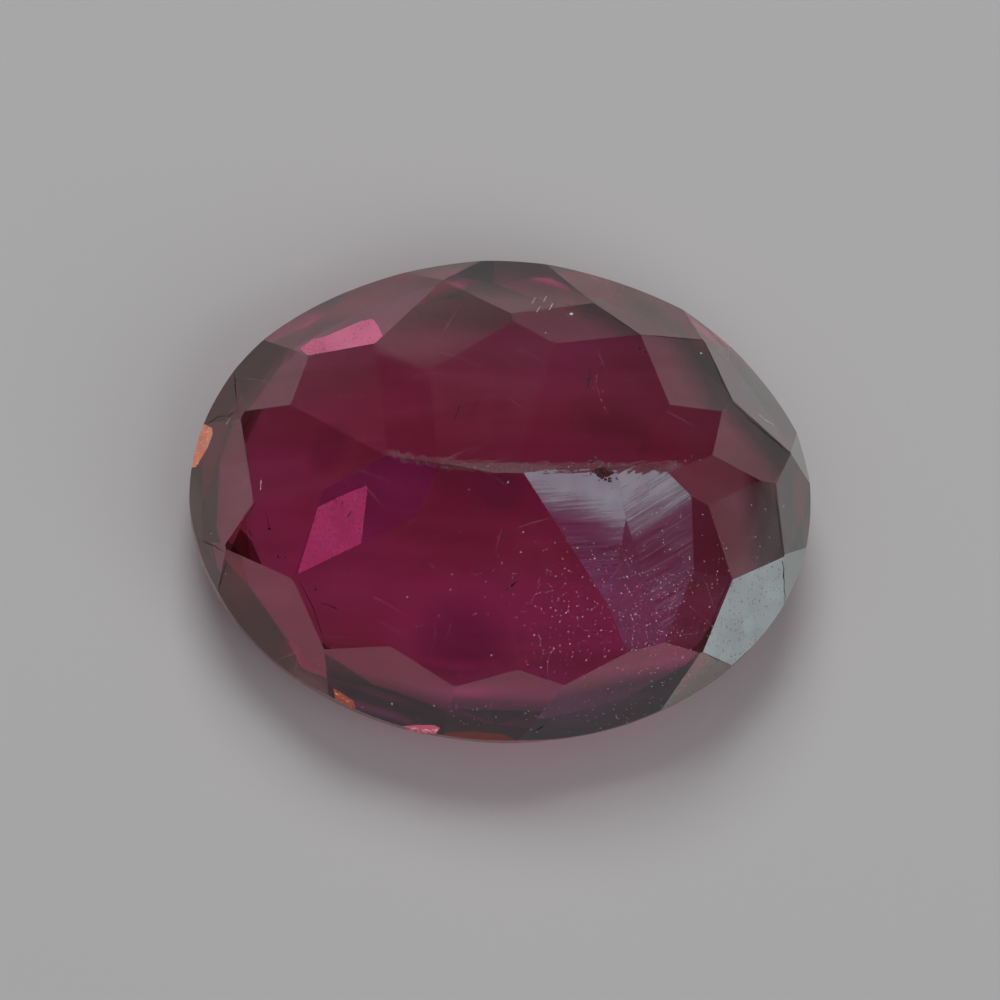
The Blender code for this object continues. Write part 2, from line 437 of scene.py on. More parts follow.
@dataclass(frozen=True)
class TourmalineFinish:
    """Elbaite tourmaline of the rubellite colour, ground and polished by hand.

    A clear crystal: plain transmission with tourmaline's IOR, and absorption that lets red through
    and takes green and blue, so thin places are pink and thick ones a dark crimson. The polish is
    worn: each facet has its own veil, which is drawn by the attribute "bloom" (the veil's colour,
    and its share as alpha), and its own polishing lines, which follow the UV map "polish" in
    millimetres. A veil is partly the real haze of that worn polish and partly painted light: a painted
    reflection of the bright studio on many facets, a painted sheen along the keel and a painted flash
    over the feathers. Real polishing lines are about 2 micrometres apart; here they are 20 to 60, so
    that they show. The grains below are patterns per millimetre along and across the polishing lines,
    or along, across and up the stone.

    Spots of painted light and shade lie in the light that the crystal lets through: each is a place
    and a reach in millimetres and the colour that it darkens or clears that light to. Painted shade
    also darkens it towards the keel, between the crest heights in millimetres. Along the keel the
    crystal is bruised. The keel's line is its middle along the stone, its place across it there, and
    its rise for the fourth power of the way from there, in millimetres. Its ends are along the stone,
    and each has a fade.
    """

    ior: float = 1.63
    roughness: float = 0.04
    frosted_roughness: float = 0.42
    absorption_per_m: float = 500.0
    absorption_keeps: Colour = (0.94, 0.17, 0.625)
    line_depth: float = 0.0008 * MM
    wave_depth: float = 0.003 * MM
    line_grain: tuple[float, float, float] = (0.9, 22.0, 1.0)
    smear_grain: tuple[float, float, float] = (0.6, 3.0, 1.0)
    pit_grain: tuple[float, float, float] = (13.0, 20.0, 1.0)
    pit_clears: float = 0.62
    pit_walls: Span = (0.60, 0.72)
    torn_by_lines: float = 1.1
    torn_by_smears: float = 0.7
    tearing: Span = (0.95, 1.75)
    veil_rest: Span = (0.06, 0.28)
    mottling: Span = (0.82, 1.12)
    mottle_grain: float = 2.2
    wave_grain: float = 0.7
    cloud_grain: tuple[float, float, float] = (0.32, 1.5, 0.7)
    cloud_size: float = 0.55
    cloud_turn: float = 0.10
    cloud_dark: Colour = (0.80, 0.72, 0.66)
    cloud_clear: Colour = (1.0, 0.96, 1.0)
    # Painted shade towards the keel: the heights in millimetres, the shade's colour and how much of it
    crest_heights: Span = (4.25, 5.05)
    crest_painted_shade: Colour = (0.34, 0.40, 0.42)
    crest_share: float = 0.5
    bruise_colour: str = "884a5a"
    bruise_share: float = 0.27
    bruise_grain: float = 6.0
    bruise_width: Span = (0.24, 0.185)
    bruise_edge: float = 0.035
    keel_line: tuple[float, float, float] = (0.6, 0.075, 0.0045)
    keel_ends: Span = (-2.2, 2.9)
    keel_fade: float = 0.5
    keel_height: float = 4.4
    veil_hides: float = 0.3
    frosted_share: float = 0.8
    # Spots of painted light and shade in the light that the crystal lets through
    painted_light_spots: tuple[tuple[tuple[float, float, float], float, Colour], ...] = (
        ((0.33, -1.34, 4.03), 0.95, (1.0, 1.0, 1.0)),
        ((0.50, 1.43, 4.02), 0.80, (1.0, 1.0, 1.0)),
        ((-2.70, -1.90, 3.50), 0.90, (1.0, 0.98, 1.0)),
        ((-0.75, -2.52, 2.93), 1.15, (0.48, 0.50, 0.54)),
        ((-0.23, -0.29, 4.89), 0.65, (0.48, 0.56, 0.58)),
        ((-3.00, 0.50, 4.10), 0.65, (0.58, 0.58, 0.60)),
        ((-1.80, -0.20, 4.65), 0.75, (0.92, 0.90, 1.0)),
        ((1.62, 0.66, 4.58), 1.10, (0.53, 0.60, 0.50)),
    )

    def bruise(self, tree: Tree, place: Socket, lines: Node) -> Node:
        """Draws the ragged band along the keel where the crystal is bruised.

        Args:
            tree: the finish's node tree.
            place: the object coordinates.
            lines: the polishing lines' noise, which frays the band.

        Returns:
            The node that gives how bruised the crystal is, from 0 to 1.
        """
        axes = add(tree, "SeparateXYZ", Vector=place)
        middle, level, rise = self.keel_line
        along = add(tree, "Math", TIMES_PLUS, n0=axes.outputs["X"], n1=1 / MM, n2=-middle)
        steep = add(tree, "Math", {"operation": "POWER"}, n0=along, n1=4.0)
        keel = add(tree, "Math", TIMES_PLUS, n0=steep, n1=rise * MM, n2=level * MM)
        away = add(tree, "Math", {"operation": "SUBTRACT"}, n0=axes.outputs["Y"], n1=keel)
        far = add(tree, "Math", {"operation": "ABSOLUTE"}, n0=away)
        rough = add(tree, "TexNoise", Vector=place, Scale=self.bruise_grain / MM, Detail=4.0, Roughness=0.7)
        frayed = add(tree, "Math", {"operation": "ADD"}, n0=rough, n1=lines)
        reach, narrow = self.bruise_width
        ragged = add(tree, "Math", TIMES_PLUS, n0=frayed, n1=-reach * MM, n2=far)
        band = add(tree, "MapRange", SMOOTH, Value=ragged, From_Min=-narrow * MM,
                   From_Max=(self.bruise_edge - narrow) * MM, To_Min=1.0, To_Max=0.0)
        start, end = (limit * MM for limit in self.keel_ends)
        fade = self.keel_fade * MM
        left = add(tree, "MapRange", SMOOTH, Value=axes.outputs["X"], From_Min=start, From_Max=start + fade)
        right = add(tree, "MapRange", SMOOTH, Value=axes.outputs["X"], From_Min=end - fade, From_Max=end,
                    To_Min=1.0, To_Max=0.0)
        top = add(tree, "Math", {"operation": "GREATER_THAN"}, n0=axes.outputs["Z"], n1=self.keel_height * MM)
        ends = add(tree, "Math", TIMES, n0=left, n1=right)
        upper = add(tree, "Math", TIMES, n0=ends, n1=top)
        return add(tree, "Math", TIMES, n0=band, n1=upper)

    def veil_left(self, tree: Tree, place: Socket, polish: Node, lines: Node, pits_and_painted_light: Node) -> Node:
        """Finds how much is left of a facet's veil: the painted keel sheen fades in streaks, and a veil is
        pitted and mottled.

        Args:
            tree: the finish's node tree.
            place: the object coordinates.
            polish: the UV map along and across the polishing lines.
            lines: the polishing lines' noise.
            pits_and_painted_light: the attribute's parts, which are how far the painted sheen has faded and
                how deeply the veil is pitted.

        Returns:
            The node that gives the share that is left.
        """
        smear = add(tree, "Mapping", Vector=polish, Scale=self.smear_grain)
        smears = add(tree, "TexNoise", FLAT, Vector=smear, Scale=1.0, Detail=3.0)

        # The painted sheen of the keel facets fades, torn into streaks along its lines before it ends
        combed = add(tree, "Math", TIMES_PLUS, n0=lines, n1=self.torn_by_lines, n2=pits_and_painted_light.outputs["X"])
        torn = add(tree, "Math", TIMES_PLUS, n0=smears, n1=self.torn_by_smears, n2=combed)
        least, most = self.veil_rest
        rest = add(tree, "MapRange", Value=lines, From_Min=0.35, From_Max=0.65, To_Min=least, To_Max=most)
        start, end = self.tearing
        left = add(tree, "MapRange", SMOOTH, Value=torn, From_Min=start, From_Max=end, To_Min=1.0,
                   To_Max=rest)

        # Pits are clear down to the dark stone under the frost
        scatter = add(tree, "Mapping", Vector=polish, Scale=self.pit_grain)
        pits = add(tree, "TexNoise", FLAT, Vector=scatter, Scale=1.0, Detail=2.0, Roughness=0.7)
        rim, floor = self.pit_walls
        holes = add(tree, "MapRange", SMOOTH, Value=pits, From_Min=rim, From_Max=floor, To_Min=0.0,
                    To_Max=self.pit_clears)
        pitted = add(tree, "Math", TIMES, n0=holes, n1=pits_and_painted_light.outputs["Y"])
        whole = add(tree, "Math", {"operation": "SUBTRACT"}, n0=1.0, n1=pitted)
        kept = add(tree, "Math", TIMES, n0=left, n1=whole)
        mottle = add(tree, "TexNoise", Vector=place, Scale=self.mottle_grain / MM, Detail=3.0)
        thin, thick = self.mottling
        uneven = add(tree, "MapRange", Value=mottle, From_Min=0.3, From_Max=0.7, To_Min=thin, To_Max=thick)
        return add(tree, "Math", TIMES, n0=kept, n1=uneven)

    def let_through(self, tree: Tree, place: Socket, pits_and_painted_light: Node) -> Socket:
        """Finds the colour that the stone under the polish lets through.

        Tourmaline isn't one colour: magenta clouds drawn out along the stone vary its tone at random.
        Painted light and shade lie over that: darker and clearer spots, painted shade along the keel, where
        both sides lean away, and each facet's painted shade, on a few facets a painted purple glow.

        Args:
            tree: the finish's node tree.
            place: the object coordinates.
            pits_and_painted_light: the attribute's parts, the last of which is how far the facet's painted
                shade shows.

        Returns:
            The colour.
        """
        # Painted shade: each facet's depth colour darkens the light let through, as far as its band reaches,
        # and on a few facets paints a purple glow
        under = add(tree, "Attribute", {"attribute_name": "depth", "attribute_type": "GEOMETRY"})
        deep = add(tree, "MapRange", SMOOTH, Value=pits_and_painted_light.outputs["Z"])
        facet_shade_and_glow = add(tree, "Mix", COLOURS, n0=deep, n6=(1.0, 1.0, 1.0, 1.0), n7=under.outputs["Color"])
        turned = (0.0, 0.0, self.cloud_turn)
        drawn = add(tree, "Mapping", Vector=place, Rotation=turned, Scale=self.cloud_grain)
        cloud = add(tree, "TexNoise", Vector=drawn, Scale=self.cloud_size / MM, Detail=2.0, Distortion=0.5)
        clouds = add(tree, "MapRange", SMOOTH, Value=cloud, From_Min=0.38, From_Max=0.62)
        zoned = add(tree, "Mix", COLOURS, n0=clouds, n6=(*self.cloud_dark, 1.0), n7=(*self.cloud_clear, 1.0))
        # Painted shade: the light let through darkens towards the keel, where both sides lean away
        height = add(tree, "SeparateXYZ", Vector=place)
        low, high = (level * MM for level in self.crest_heights)
        crest = add(tree, "MapRange", SMOOTH, Value=height.outputs["Z"], From_Min=low, From_Max=high,
                    To_Min=0.0, To_Max=self.crest_share)
        crested = add(tree, "Mix", TINTS, n0=crest, n6=zoned.outputs[2], n7=(*self.crest_painted_shade, 1.0))
        tone = crested.outputs[2]
        # Painted light and shade: spots that darken or clear the light let through
        for middle, radius, colour in self.painted_light_spots:
            centre = tuple(value * MM for value in middle)
            reach = add(tree, "VectorMath", {"operation": "DISTANCE"}, n0=place, n1=centre)
            zone = add(tree, "MapRange", {"interpolation_type": "SMOOTHERSTEP"}, Value=reach.outputs["Value"],
                       From_Min=radius * 0.2 * MM, From_Max=radius * MM, To_Min=1.0, To_Max=0.0)
            tone = add(tree, "Mix", COLOURS, n0=zone, n6=tone, n7=(*colour, 1.0)).outputs[2]
        return add(tree, "Mix", TINTS, n0=1.0, n6=tone, n7=facet_shade_and_glow.outputs[2]).outputs[2]

    def make(self) -> Material:
        """Builds the material."""
        material, tree = new_material("rubellite_polished")
        veil = add(tree, "Attribute", {"attribute_name": "bloom", "attribute_type": "GEOMETRY"})
        worn = add(tree, "Attribute", {"attribute_name": "pits_and_painted_light", "attribute_type": "GEOMETRY"})
        pits_and_painted_light = add(tree, "SeparateXYZ", Vector=worn.outputs["Vector"])
        polish = add(tree, "UVMap", {"uv_map": "polish"})
        place = add(tree, "TexCoord").outputs["Object"]
        stretch = add(tree, "Mapping", Vector=polish, Scale=self.line_grain)
        lines = add(tree, "TexNoise", FLAT, Vector=stretch, Scale=1.0, Detail=4.0, Roughness=0.65)

        # The share that scatters: what is left of the facet's veil, or the bruised band where that is more
        left = self.veil_left(tree, place, polish, lines, pits_and_painted_light)
        thinned = add(tree, "Math", {"operation": "MULTIPLY", "use_clamp": True}, n0=left,
                      n1=veil.outputs["Alpha"])
        bruise = self.bruise(tree, place, lines)
        bruised = add(tree, "Math", TIMES, n0=bruise, n1=self.bruise_share)
        share = add(tree, "Math", {"operation": "MAXIMUM"}, n0=thinned, n1=bruised)
        powder = (*linear(self.bruise_colour), 1.0)
        scattered = add(tree, "Mix", COLOURS, n0=bruise, n6=veil.outputs["Color"], n7=powder)
        clear = add(tree, "Math", {"operation": "SUBTRACT", "use_clamp": True}, n0=1.0, n1=share)
        hidden = add(tree, "MapRange", Value=share, From_Min=0.0, From_Max=self.veil_hides)
        deep = self.let_through(tree, place, pits_and_painted_light)
        tint = add(tree, "Mix", COLOURS, n0=hidden, n6=deep, n7=scattered.outputs[2])

        rough = add(tree, "MapRange", Value=share, From_Min=0.0, From_Max=self.frosted_share,
                    To_Min=self.roughness, To_Max=self.frosted_roughness)
        wave = add(tree, "TexNoise", Vector=place, Scale=self.wave_grain / MM, Detail=1.0)
        waved = add(tree, "Bump", Height=wave, Distance=self.wave_depth, Strength=1.0)
        combed = add(tree, "Bump", Height=lines, Distance=self.line_depth, Strength=1.0, Normal=waved)

        shader = add(tree, "BsdfPrincipled", Base_Color=tint.outputs[2], Roughness=rough, IOR=self.ior,
                     Transmission_Weight=clear, Normal=combed)
        keeps = (*self.absorption_keeps, 1.0)
        volume = add(tree, "VolumeAbsorption", Color=keeps, Density=self.absorption_per_m)
        add(tree, "OutputMaterial", Surface=shader, Volume=volume)
        return material


@dataclass
class Gem:
    """The stone itself, a finer copy of the CAD solid with its edges rubbed round.

    Faces that turn by less than the flat turn, in degrees, are one facet, and an edge that turns by
    more than the sharp turn is rubbed round. A face smaller than the edge area is such an edge. The
    worn flat on the keel and the girdle are told by how far their faces point upwards.
    """

    sight: Sight
    edge_wear: float = 0.020 * MM
    edge_steps: int = 2
    merge_reach: float = 0.001 * MM
    cut_reach: float = 0.00001 * MM
    flat_turn: float = 0.3
    sharp_turn: float = 3.5
    edge_area: float = (0.2 * MM) ** 2
    keel_rise: float = 0.995
    girdle_rise: float = 0.05
    edge_bloom: Bloom = Bloom("b08a92", 0.10)
    girdle_bloom: Bloom = Bloom("a87c6c", 0.45, pits=0.4)
    keel_bloom: Bloom = Bloom("8c5c64", 0.12, pits=0.8)
    crown_bloom: Bloom = Bloom("b08a92", 0.02)
    inner_bloom: Bloom = Bloom("b08a92", 0.012)
    finish: TourmalineFinish = field(default_factory=TourmalineFinish)
    seed: int = 7

    def mesh(self) -> Mesh:
        """Copies the CAD stone, merges it into whole facets and rounds its edges."""
        stone = bmesh.new()
        stone.from_mesh(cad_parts["rubellite"].data)
        bmesh.ops.remove_doubles(stone, verts=stone.verts[:], dist=self.merge_reach)
        flat = math.radians(self.flat_turn)
        bmesh.ops.dissolve_limit(stone, angle_limit=flat, verts=stone.verts[:], edges=stone.edges[:])
        sharp = math.radians(self.sharp_turn)
        creases = [edge for edge in stone.edges if edge.calc_face_angle(0.0) > sharp]
        bmesh.ops.bevel(
            stone, geom=creases, offset=self.edge_wear, segments=self.edge_steps, profile=0.5,
            affect="EDGES", material=-1, clamp_overlap=True,
        )
        stone.normal_update()
        return stone

    def cut_windows(self, stone: Mesh) -> None:
        """Cuts the outline of each window into its facet, along the camera's line of sight, and marks it.

        The faces are numbered before the cuts, and a facet's parts keep its number.
        """
        mark = stone.faces.layers.int.new("window")
        number_layer = stone.faces.layers.int.new("number")
        for before, face in enumerate(stone.faces):
            face[number_layer] = before
        eye = self.sight.eye
        for number, window in enumerate(Window, start=1):
            inside = [face for face in stone.faces if window.is_on(face.normal)]
            rays = [self.sight.through(right, up) - eye for right, up in window.outline]
            for first, second in zip(rays, rays[1:] + rays[:1]):
                outward = second.cross(first).normalized()
                touched = {corner for face in inside for corner in face.verts}
                borders = {border for face in inside for border in face.edges}
                around = [*inside, *touched, *borders]
                cut = bmesh.ops.bisect_plane(
                    stone, geom=around, dist=self.cut_reach, plane_co=eye, plane_no=outward,
                )
                pieces = [item for item in cut["geom"] if isinstance(item, bmesh.types.BMFace)]
                inside = [face for face in pieces if (face.calc_center_median() - eye).dot(outward) < 0]
            for face in inside:
                face[mark] = number

    def bloom_of(self, face: bmesh.types.BMFace) -> Bloom:
        """Chooses a face's veil and depth, with the painted light of the named facets.

        Args:
            face: the face.

        Returns:
            The bloom of the named facet that it is, or of its kind.
        """
        facet = next((item for item in Facet if item.is_on(face.normal)), None)
        if facet:
            return facet.bloom
        if face.normal.z > self.keel_rise:
            return self.keel_bloom
        if abs(face.normal.z) < self.girdle_rise:
            return self.girdle_bloom
        if face.calc_area() < self.edge_area:
            return self.edge_bloom
        return self.inner_bloom if face.normal.z > 0 else self.crown_bloom

    def in_order(self, stone: Mesh) -> list[bmesh.types.BMFace]:
        """The stone's faces in an order that is the same each run.

        Cutting leaves them in another order each run. So a facet keeps its old place in the order, and
        the parts that were cut off come first, those of one facet by where they are.
        """
        number = stone.faces.layers.int["number"]
        ordered = sorted(stone.faces, key=lambda face: (
            face[number], *(round(value / MM, 4) for value in face.calc_center_median()),
        ))
        cut_off = {face for before, face in zip(ordered, ordered[1:]) if face[number] == before[number]}
        whole = [face for face in ordered if face not in cut_off]
        return [face for face in ordered if face in cut_off] + whole

    def paint(self, stone: Mesh) -> None:
        """Writes each face's polish and painted light into its corners: the bloom, the depth, the painted
        sheen's fade with the pits and the painted shade, and the UV map.
        """
        chance = random.Random(self.seed)
        mark = stone.faces.layers.int["window"]
        windows = list(Window)
        bloom_layer = stone.loops.layers.float_color.new("bloom")
        painted_shade_and_glow_layer = stone.loops.layers.float_color.new("depth")
        pits_and_painted_light_layer = stone.loops.layers.float_vector.new("pits_and_painted_light")
        lines_layer = stone.loops.layers.uv.new("polish")
        for face in self.in_order(stone):
            bloom = windows[face[mark] - 1].bloom if face[mark] else self.bloom_of(face)
            turn = math.radians(bloom.lines if bloom.fade else chance.uniform(0, 180))
            level = Vector((0.0, 0.0, 1.0)).cross(face.normal)
            level = level.normalized() if level.length > 1e-6 else Vector((1.0, 0.0, 0.0))
            if bloom.fade:
                along = self.sight.right * math.cos(turn) + self.sight.up * math.sin(turn)
                along = (along - face.normal * along.dot(face.normal)).normalized()
            else:
                along = Matrix.Rotation(turn, 3, face.normal) @ level
            across = face.normal.cross(along)
            for corner in face.loops:
                point = corner.vert.co
                corner[lines_layer].uv = (point.dot(along) / MM, point.dot(across) / MM)
                corner[bloom_layer] = (*linear(bloom.colour), bloom.share)
                corner[painted_shade_and_glow_layer] = (*linear(bloom.depth), 1.0)
                faded, painted_shade_at = self.faded(bloom, point), self.painted_shade_at(bloom, point)
                corner[pits_and_painted_light_layer] = Vector((faded, bloom.pits, painted_shade_at))

    def faded(self, bloom: Bloom, point: Vector) -> float:
        """How far the painted keel sheen has faded at a point, as the camera sees it: 0 where it starts to
        tear, 1 where it has gone.
        """
        if not bloom.fade:
            return NOWHERE_FADED
        right, up = self.sight.seen_at(point)
        turn = math.radians(bloom.edge)
        away = (right - bloom.start[0]) * math.sin(turn) - (up - bloom.start[1]) * math.cos(turn)
        return (away - bloom.fade[0]) / (bloom.fade[1] - bloom.fade[0])

    def painted_shade_at(self, bloom: Bloom, point: Vector) -> float:
        """How far the painted shade or glow of a facet's depth shows at a point, from 0 to 1."""
        if not bloom.painted_shade_band:
            return 1.0
        right, up = self.sight.seen_at(point)
        turn, near, far = bloom.painted_shade_band
        out = right * math.cos(math.radians(turn)) + up * math.sin(math.radians(turn))
        return (out - near) / (far - near)

    def build(self) -> Surface:
        """Makes the piece and puts it in the CAD stone's place."""
        stone = self.mesh()
        self.cut_windows(stone)
        self.paint(stone)
        surface = Surface(BVHTree.FromBMesh(stone), self.sight)
        piece = as_piece("rubellite_stone", stone, self.finish.make())
        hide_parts("rubellite")
        LOG.info("%s: %d faces", piece.name, len(piece.data.polygons))
        return surface


@dataclass(frozen=True)
class GrainFinish:
    """The finish of the grains and hairs on or in the stone, mottled so that no two are alike.

    Its two colours as sRGB hex, its roughness and the size of its mottles in metres.
    """

    name: str
    deep: str
    pale: str
    roughness: float
    mottle: float = 0.03 * MM

    def make(self) -> Material:
        """Builds the material."""
        material, tree = new_material(self.name)
        place = add(tree, "TexCoord")
        noise = add(tree, "TexNoise", Vector=place.outputs["Object"], Scale=1.0 / self.mottle, Detail=2.0)
        mixed = add(tree, "MapRange", Value=noise, From_Min=0.35, From_Max=0.65)
        colour = add(tree, "Mix", COLOURS, n0=mixed, n6=(*linear(self.deep), 1.0),
                     n7=(*linear(self.pale), 1.0))
        smooth, matt = self.roughness - 0.1, self.roughness + 0.1
        rough = add(tree, "MapRange", Value=noise, To_Min=smooth, To_Max=matt)
        uneven = add(tree, "Bump", Height=noise, Distance=self.mottle * 0.2, Strength=1.0)
        shader = add(tree, "BsdfPrincipled", Base_Color=colour.outputs[2], Roughness=rough,
                     Normal=uneven)
        add(tree, "OutputMaterial", Surface=shader)
        return material


class Grit(Enum):
    """What lies on the stone or sits in it, each with its own finish."""

    # House dust and lapping grit, dry and matt: the pale specks that glitter over the polish
    DUST = GrainFinish("house_dust", "9a8a90", "f6eef0", 0.75)
    # Needles of black tourmaline and stained cracks: nearly black with a red cast, a little glossy
    DARK = GrainFinish("dark_inclusion", "0a0205", "26080f", 0.35)
    # Tourmaline that is bruised to powder, like sugar: white crystal with the stone's pink in it
    BRUISED = GrainFinish("bruised_tourmaline", "58303c", "88606a", 0.65)
    # The pit in the keel: a broken hollow that is full of the stone's own deep red
    PIT = GrainFinish("broken_hollow", "24040c", "641a2c", 0.4)
    # Drops of liquid in a healed crack, which glint red
    HEALED = GrainFinish("healed_crack", "a83048", "f08c92", 0.35)
    # Scratches in the polish, whose edges catch the light
    SCRATCH = GrainFinish("polish_scratch", "84606c", "c8a8b0", 0.5, 0.2 * MM)
    # Feathers full of air, as flakes that all face nearly one way: their bright orange and pink is a painted
    # flash of the light that fell into the stone
    ORANGE_FEATHER_FLASH = GrainFinish("orange_feather_painted_flash", "f0704c", "ffb498", 0.45, 0.06 * MM)
    PINK_FEATHER_FLASH = GrainFinish("pink_feather_painted_flash", "e8407c", "ffc0cc", 0.45, 0.06 * MM)


def between(first: Place, second: Place, share: float) -> Place:
    """The place part of the way from one place to another."""
    return (first[0] + (second[0] - first[0]) * share, first[1] + (second[1] - first[1]) * share)


def apart(first: Place, second: Place) -> float:
    """How far apart two places are."""
    return math.hypot(second[0] - first[0], second[1] - first[1])


@dataclass
class Marks:
    """Small marks of one kind, laid on the stone or just under its polish by where they are seen.

    A grain's corners are moved in or out by its raggedness. A hair is made of rods of about the rod
    length, in millimetres, and its thickness is uneven. A rod that would be longer than the longest
    one crosses from one part of the stone to another, and is left out.
    """

    name: str
    grit: Grit
    surface: Surface
    seed: int
    raggedness: Span = (0.65, 1.25)
    rod_length: float = 0.12
    shortest_rod: float = 0.0001 * MM
    longest_rod: float = 0.5 * MM
    unevenness: Span = (0.7, 1.2)
    mesh: Mesh = field(default_factory=bmesh.new)
    count: int = 0

    def __post_init__(self) -> None:
        """Seeds the marks' chances."""
        self.chance = random.Random(self.seed)

    def grain(self, place: Place, size: float, flat: float = 0.6, sunk: float = 0.3,
              face: Vector | None = None) -> None:
        """Lays one irregular grain.

        Args:
            place: where it is seen, in millimetres right of and above the picture's middle.
            size: its radius in millimetres.
            flat: how thick it is, as a share of its width.
            sunk: how deep its middle lies under the surface, as a share of its radius.
            face: the way that its flat side is turned towards, half-way, or None to lie on the surface.
        """
        spot = self.surface.spot(*place)
        if spot is None:
            return
        point, normal = spot
        made = bmesh.ops.create_icosphere(self.mesh, subdivisions=1, radius=size * MM)
        for corner in made["verts"]:
            corner.co *= self.chance.uniform(*self.raggedness)
        flatten = Matrix.Diagonal((1.0, self.chance.uniform(0.6, 1.0), flat, 1.0))
        spin = Matrix.Rotation(self.chance.uniform(0, math.tau), 4, "Z")
        stand = (face + normal if face else normal).to_track_quat("Z", "Y").to_matrix().to_4x4()
        put = Matrix.Translation(point - normal * sunk * size * MM)
        bmesh.ops.transform(self.mesh, matrix=put @ stand @ spin @ flatten, verts=made["verts"])
        self.count += 1

    def hair(self, path: Path, radius: float, sunk: float, wander: float = 0.0) -> None:
        """Lays a hair of short closed rods along a path.

        Args:
            path: the places that it passes, in millimetres in the picture.
            radius: its thickest radius in millimetres.
            sunk: how deep it lies under the surface, in millimetres.
            wander: how far it strays from its path, in millimetres.
        """
        points = []
        for first, second in zip(path, path[1:]):
            steps = max(1, round(apart(first, second) / self.rod_length))
            points += [between(first, second, step / steps) for step in range(steps)]
        points.append(path[-1])
        laid = []
        for right, up in points:
            aside, above = self.chance.uniform(-wander, wander), self.chance.uniform(-wander, wander)
            spot = self.surface.spot(right + aside, up + above)
            if spot:
                laid.append(spot[0] - spot[1] * sunk * MM)
        for number, (start, end) in enumerate(zip(laid, laid[1:])):
            way = end - start
            if not self.shortest_rod < way.length < self.longest_rod:
                continue
            taper = math.sin(math.pi * (number + 0.6) / len(laid))
            thick = radius * MM * max(0.35, taper) * self.chance.uniform(*self.unevenness)
            put = Matrix.Translation((start + end) / 2) @ way.to_track_quat("Z", "Y").to_matrix().to_4x4()
            bmesh.ops.create_cone(
                self.mesh, cap_ends=True, cap_tris=False, segments=5, radius1=thick, radius2=thick * 0.85,
                depth=way.length * 1.05, matrix=put,
            )
        self.count += 1

    def cloud(self, middle: Place, spread: Place, number: int, sizes: Span, **shape) -> None:
        """Scatters grains round a place, thinning out from it.

        Args:
            middle: the place.
            spread: how far it reaches sideways and upwards, in millimetres.
            number: how many grains there are.
            sizes: the smallest and the largest radius in millimetres.
            shape: the grains' other settings.
        """
        for _ in range(number):
            place = (self.chance.gauss(middle[0], spread[0]), self.chance.gauss(middle[1], spread[1]))
            size = sizes[0] + (sizes[1] - sizes[0]) * self.chance.random() ** 2
            self.grain(place, size, **shape)

    def shingles(self, path: Path, width: float, number: int, size: float, face: Vector) -> None:
        """Lays thin overlapping flakes along a path, widest at its middle, all facing nearly the same way.

        Args:
            path: the places that it passes.
            width: its full width in millimetres.
            number: how many flakes there are.
            size: their mean radius in millimetres.
            face: the way that they face.
        """
        for _ in range(number):
            along = self.chance.uniform(0, len(path) - 1.0001)
            first, second = path[int(along)], path[int(along) + 1]
            right, up = between(first, second, along - int(along))
            reach = width / 2 * math.sin(math.pi * (0.12 + 0.76 * along / (len(path) - 1)))
            side = self.chance.uniform(-reach, reach) / apart(first, second)
            place = (right + side * (second[1] - first[1]), up - side * (second[0] - first[0]))
            lean = Vector([self.chance.uniform(-0.15, 0.15) for _ in range(3)])
            turned = (face + lean).normalized()
            self.grain(place, size * self.chance.uniform(0.7, 1.3), flat=0.10, sunk=-0.1, face=turned)

    def build(self) -> None:
        """Makes the piece of all the marks."""
        piece = as_piece(self.name, self.mesh, self.grit.value.make())
        LOG.info("%s: %d marks, %d faces", piece.name, self.count, len(piece.data.polygons))


